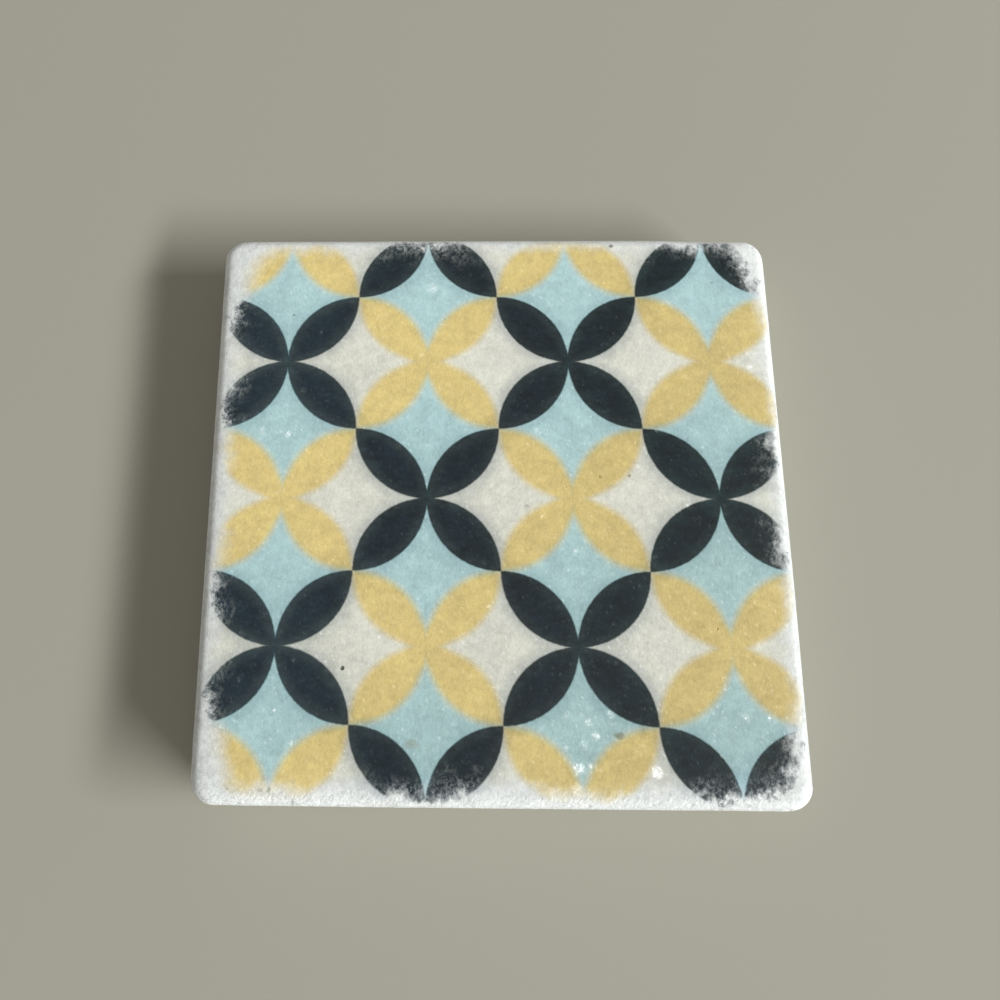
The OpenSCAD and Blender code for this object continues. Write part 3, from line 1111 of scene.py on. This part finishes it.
def make_ball_tree():
    """A faceted ball round each point, as wide as the point's radius says, turned at random."""
    inputs = [("Points", "NodeSocketObject"), ("Seed", "NodeSocketInt")]
    tree, w, given, result = make_build_tree("scoops", inputs)
    ball = w.add("GeometryNodeMeshIcoSphere", {"Radius": 1.0 * MM, "Subdivisions": 3}).outputs["Mesh"]
    size = w.add("GeometryNodeInputNamedAttribute", {"Name": "ball_radius"}, data_type="FLOAT").outputs[0]
    feeds = {1: (math.tau, math.tau, math.tau), "Seed": given["Seed"]}
    turn = w.add("FunctionNodeRandomValue", feeds, data_type="FLOAT_VECTOR").outputs[0]
    balls = copies(w, from_object(w, given["Points"]), ball, Rotation=turn, Scale=size)
    w.feed(result["Geometry"], balls)
    return tree


def scoops(slab):
    """The balls that scoop the pits and chips, as one mesh."""
    balls = pit_points(slab)
    mesh = new_mesh("scoop_points", [centre for centre, _ in balls])
    sizes = mesh.attributes.new("ball_radius", "FLOAT", "POINT")
    sizes.data.foreach_set("value", [radius for _, radius in balls])
    points = new_object("scoop_points", mesh)
    made = made_by("scoops", make_ball_tree(), points=points, seed=BALL_SEED)
    bpy.data.objects.remove(points)
    return made


# Edges of the stone and of the rubber that bend more than this stay crisp
STONE_CREASE = math.radians(40)
RUBBER_CREASE = math.radians(50)
# A point nearer to the slab's surface than this lies on it
SURFACE_REACH = 0.002 * MM
# Least cosine between the slab's normal and a face that is part of its surface
SAME_WAY = 0.8


def keep_slab_shading(mesh, slab):
    """Shades a piece that was cut from the slab as the slab itself is shaded, without a seam at the cuts."""
    sheet = bmesh.new()
    sheet.from_mesh(slab)
    bmesh.ops.triangulate(sheet, faces=sheet.faces)
    tree = BVHTree.FromBMesh(sheet)
    sheet.faces.ensure_lookup_table()
    corners = [[v.index for v in face.verts] for face in sheet.faces]
    normals = [v.normal.copy() for v in sheet.verts]
    places = [v.co.copy() for v in sheet.verts]
    sheet.free()

    def slab_normal(place):
        """The slab's own normal at a place on its surface, or None for a place off it."""
        hit, _, index, distance = tree.find_nearest(place)
        if distance >= SURFACE_REACH:
            return None
        weights = poly_3d_calc([places[i] for i in corners[index]], hit)
        total = Vector()
        for i, weight in zip(corners[index], weights):
            total += normals[i] * weight
        return total.normalized()

    mesh.shade_smooth()
    mesh.set_sharp_from_angle(angle=STONE_CREASE)
    own = [Vector(item.vector) for item in mesh.corner_normals]
    found = [slab_normal(point.co) for point in mesh.vertices]
    for face in mesh.polygons:
        for corner in face.loop_indices:
            normal = found[mesh.loops[corner].vertex_index]
            if normal is not None and normal.dot(face.normal) > SAME_WAY:
                own[corner] = normal
    mesh.normals_split_custom_set(own)


FOOT_SIDES = 72
FOOT_RIM_STEPS = 8
FOOT_CHAMFER = 0.08 * MM
# Points down a foot's side: share of its taper, and how far below its top, in millimetres
FOOT_SIDE = ((0.16, 0.32), (0.2, 0.4))
# The line of a foot's sole, in millimetres: distance in from its rim and height, then reach and height
SOLE_RIM = ((0.5, 0.0), (0.75, 0.05), (1.1, 0.16))
SOLE_MIDDLE = ((0.75, 0.2), (0.6, 0.14), (0.45, 0.12), (0.0, 0.11))


def foot_profile(height, reach):
    """Side view of half a foot, from the middle of its top round to the middle of its dished sole."""
    lean = math.atan(FOOT_TAPER / height)
    sole_reach = reach - FOOT_TAPER
    rim_centre = sole_reach - FOOT_RIM_RADIUS * (1 - math.sin(lean)) / math.cos(lean)
    points = [(0.0, height), (reach * 0.5, height)]
    points += [(reach - FOOT_CHAMFER, height), (reach, height - FOOT_CHAMFER)]
    points += [(reach - FOOT_TAPER * share, height - drop * MM) for share, drop in FOOT_SIDE]
    for i in range(FOOT_RIM_STEPS + 1):
        turn = lean + (math.pi / 2 - lean) * i / FOOT_RIM_STEPS
        points.append((rim_centre + FOOT_RIM_RADIUS * math.cos(turn), FOOT_RIM_RADIUS * (1 - math.sin(turn))))
    points += [(rim_centre - inward * MM, rise * MM) for inward, rise in SOLE_RIM]
    points += [(out * MM, rise * MM) for out, rise in SOLE_MIDDLE]
    return points


def foot_mesh(name, low, high):
    """A moulded bumper foot, turned round its middle."""
    centre = (low + high) / 2
    profile = foot_profile(high.z, (high.x - low.x) / 2)
    points = []
    for reach, height in profile[1:-1]:
        for i in range(FOOT_SIDES):
            turn = math.tau * i / FOOT_SIDES
            points.append((centre.x + reach * math.cos(turn), centre.y + reach * math.sin(turn), height))
    faces = ring_faces(0, len(profile) - 2, FOOT_SIDES)
    top = len(points)
    last = top - FOOT_SIDES
    points += [(centre.x, centre.y, profile[0][1]), (centre.x, centre.y, profile[-1][1])]
    faces += [(top, i, (i + 1) % FOOT_SIDES) for i in range(FOOT_SIDES)]
    faces += [(top + 1, last + (i + 1) % FOOT_SIDES, last + i) for i in range(FOOT_SIDES)]
    mesh = new_mesh(name, points, faces)
    mesh.shade_smooth()
    mesh.set_sharp_from_angle(angle=RUBBER_CREASE)
    return mesh


def turn_towards(direction, up_hint, roll=0.0):
    """Rotation that looks along a direction, with the picture's top nearest to the hint."""
    look = direction.normalized()
    right = look.cross(up_hint).normalized()
    up = right.cross(look)
    rolled = right * math.cos(roll) + up * math.sin(roll)
    return Matrix((rolled, rolled.cross(look), -look)).transposed().to_4x4()


def make_camera():
    data = bpy.data.cameras.new("photo_camera")
    data.sensor_fit = "HORIZONTAL"
    data.sensor_width = CAMERA_SENSOR
    data.lens = CAMERA_LENS
    data.shift_x = CAMERA_SHIFT
    data.clip_start = 1 * MM
    camera = new_object("photo_camera", data)
    turn = turn_towards(CAMERA_AIM - CAMERA_PLACE, Vector((0, 1, 0)), CAMERA_ROLL)
    camera.matrix_world = Matrix.Translation(CAMERA_PLACE) @ turn
    bpy.context.scene.camera = camera


def make_key_light():
    data = bpy.data.lights.new("key_light", "AREA")
    data.shape = "RECTANGLE"
    data.size = KEY_WIDTH
    data.size_y = KEY_HEIGHT
    data.energy = KEY_POWER
    data.color = KEY_COLOUR
    light = new_object("key_light", data)
    level = math.cos(KEY_RISE)
    towards = Vector((math.cos(KEY_TURN) * level, math.sin(KEY_TURN) * level, math.sin(KEY_RISE)))
    turn = turn_towards(-towards, Vector((0, 0, 1)))
    light.matrix_world = Matrix.Translation(towards * KEY_DISTANCE) @ turn


def make_world():
    """Soft light from all round, and a pale backdrop wherever the camera or a gloss sees it."""
    world = bpy.data.worlds.new("soft_room")
    world.use_nodes = True
    w = Wires(world.node_tree)
    background = world.node_tree.nodes["Background"]
    path = w.add("ShaderNodeLightPath").outputs
    seen = w.larger(path["Is Camera Ray"], w.larger(path["Is Glossy Ray"], path["Is Transmission Ray"]))
    w.feed(background.inputs["Color"], w.mix(seen, FILL_COLOUR, BACKDROP_COLOUR))
    w.feed(background.inputs["Strength"], w.step(seen, 0.0, 1.0, FILL_STRENGTH, 1.0))
    bpy.context.scene.world = world


def make_floor():
    half = FLOOR_SIZE / 2
    corners = [(-half, -half, 0), (half, -half, 0), (half, half, 0), (-half, half, 0)]
    mesh = new_mesh("floor", corners, [(0, 1, 2, 3)])
    material = bpy.data.materials.new("pale_floor")
    material.use_nodes = True
    shader = material.node_tree.nodes["Principled BSDF"]
    shader.inputs["Base Color"].default_value = (*FLOOR_COLOUR, 1.0)
    shader.inputs["Roughness"].default_value = FLOOR_ROUGHNESS
    shader.inputs["Specular IOR Level"].default_value = FLOOR_GLOSS
    mesh.materials.append(material)
    floor = new_object("floor", mesh)


make_camera()
make_key_light()
make_world()
make_floor()

marble = make_printed_marble()
stone_finish = printed_stone_material("printed_marble", marble, STONE_GLOW)
DYES = ("navy", "mustard", "pale_blue")
dye_finishes = {dye: printed_stone_material(f"marble_dyed_{dye}", marble, 0.0) for dye in DYES}

slab = worn_slab()
cutters = {
    "slab": new_object("worn_slab", slab),
    "under_dyes": new_object("under_dyes", stone_under_dyes(slab)),
    "printed_area": new_object("printed_area", printed_area_mesh()),
    "pits": new_object("scoops", scoops(slab)),
}
petals = make_petal_prisms()
stars = make_star_prisms()
stone_tree = make_stone_tree(petals, stars)
navy_tree = make_dye_tree("navy_print", petals, {"Navy": 1.0})
mustard_tree = make_dye_tree("mustard_print", petals, {"Navy": 0.0})
blue_tree = make_dye_tree("pale_blue_print", stars, {})
PIECES = (
    ("marble_tile", stone_tree, stone_finish, "stone_tile", "marble"),
    ("navy_print", navy_tree, dye_finishes["navy"], "navy_petals", "navy_dye"),
    ("mustard_print", mustard_tree, dye_finishes["mustard"], "mustard_petals", "mustard_dye"),
    ("pale_blue_print", blue_tree, dye_finishes["pale_blue"], "pale_blue_stars", "pale_blue_dye"),
)
for name, tree, finish, node, slot in PIECES:
    mesh = made_by(name, tree, circle_radius=CIRCLE_RADIUS, gap=DYE_GAP, material=finish, **cutters)
    keep_slab_shading(mesh, slab)
    mesh.materials.clear()
    mesh.materials.append(finish)
    piece = new_object(name, mesh)
    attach(piece, "root")
    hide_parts(node)
for cutter in cutters.values():
    bpy.data.objects.remove(cutter)

rubber = rubber_material()
film = adhesive_material()
for end in ("front", "back"):
    for side in ("left", "right"):
        node = f"foot_{end}_{side}"
        mesh = foot_mesh(f"rubber_{node}", *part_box(node))
        mesh.materials.append(rubber)
        foot = new_object(f"rubber_{node}", mesh)
        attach(foot, "root")
        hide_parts(node)
        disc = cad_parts[f"adhesive_{end}_{side}"]
        disc.data.materials.clear()
        disc.data.materials.append(film)

bpy.context.scene.view_settings.view_transform = "Standard"
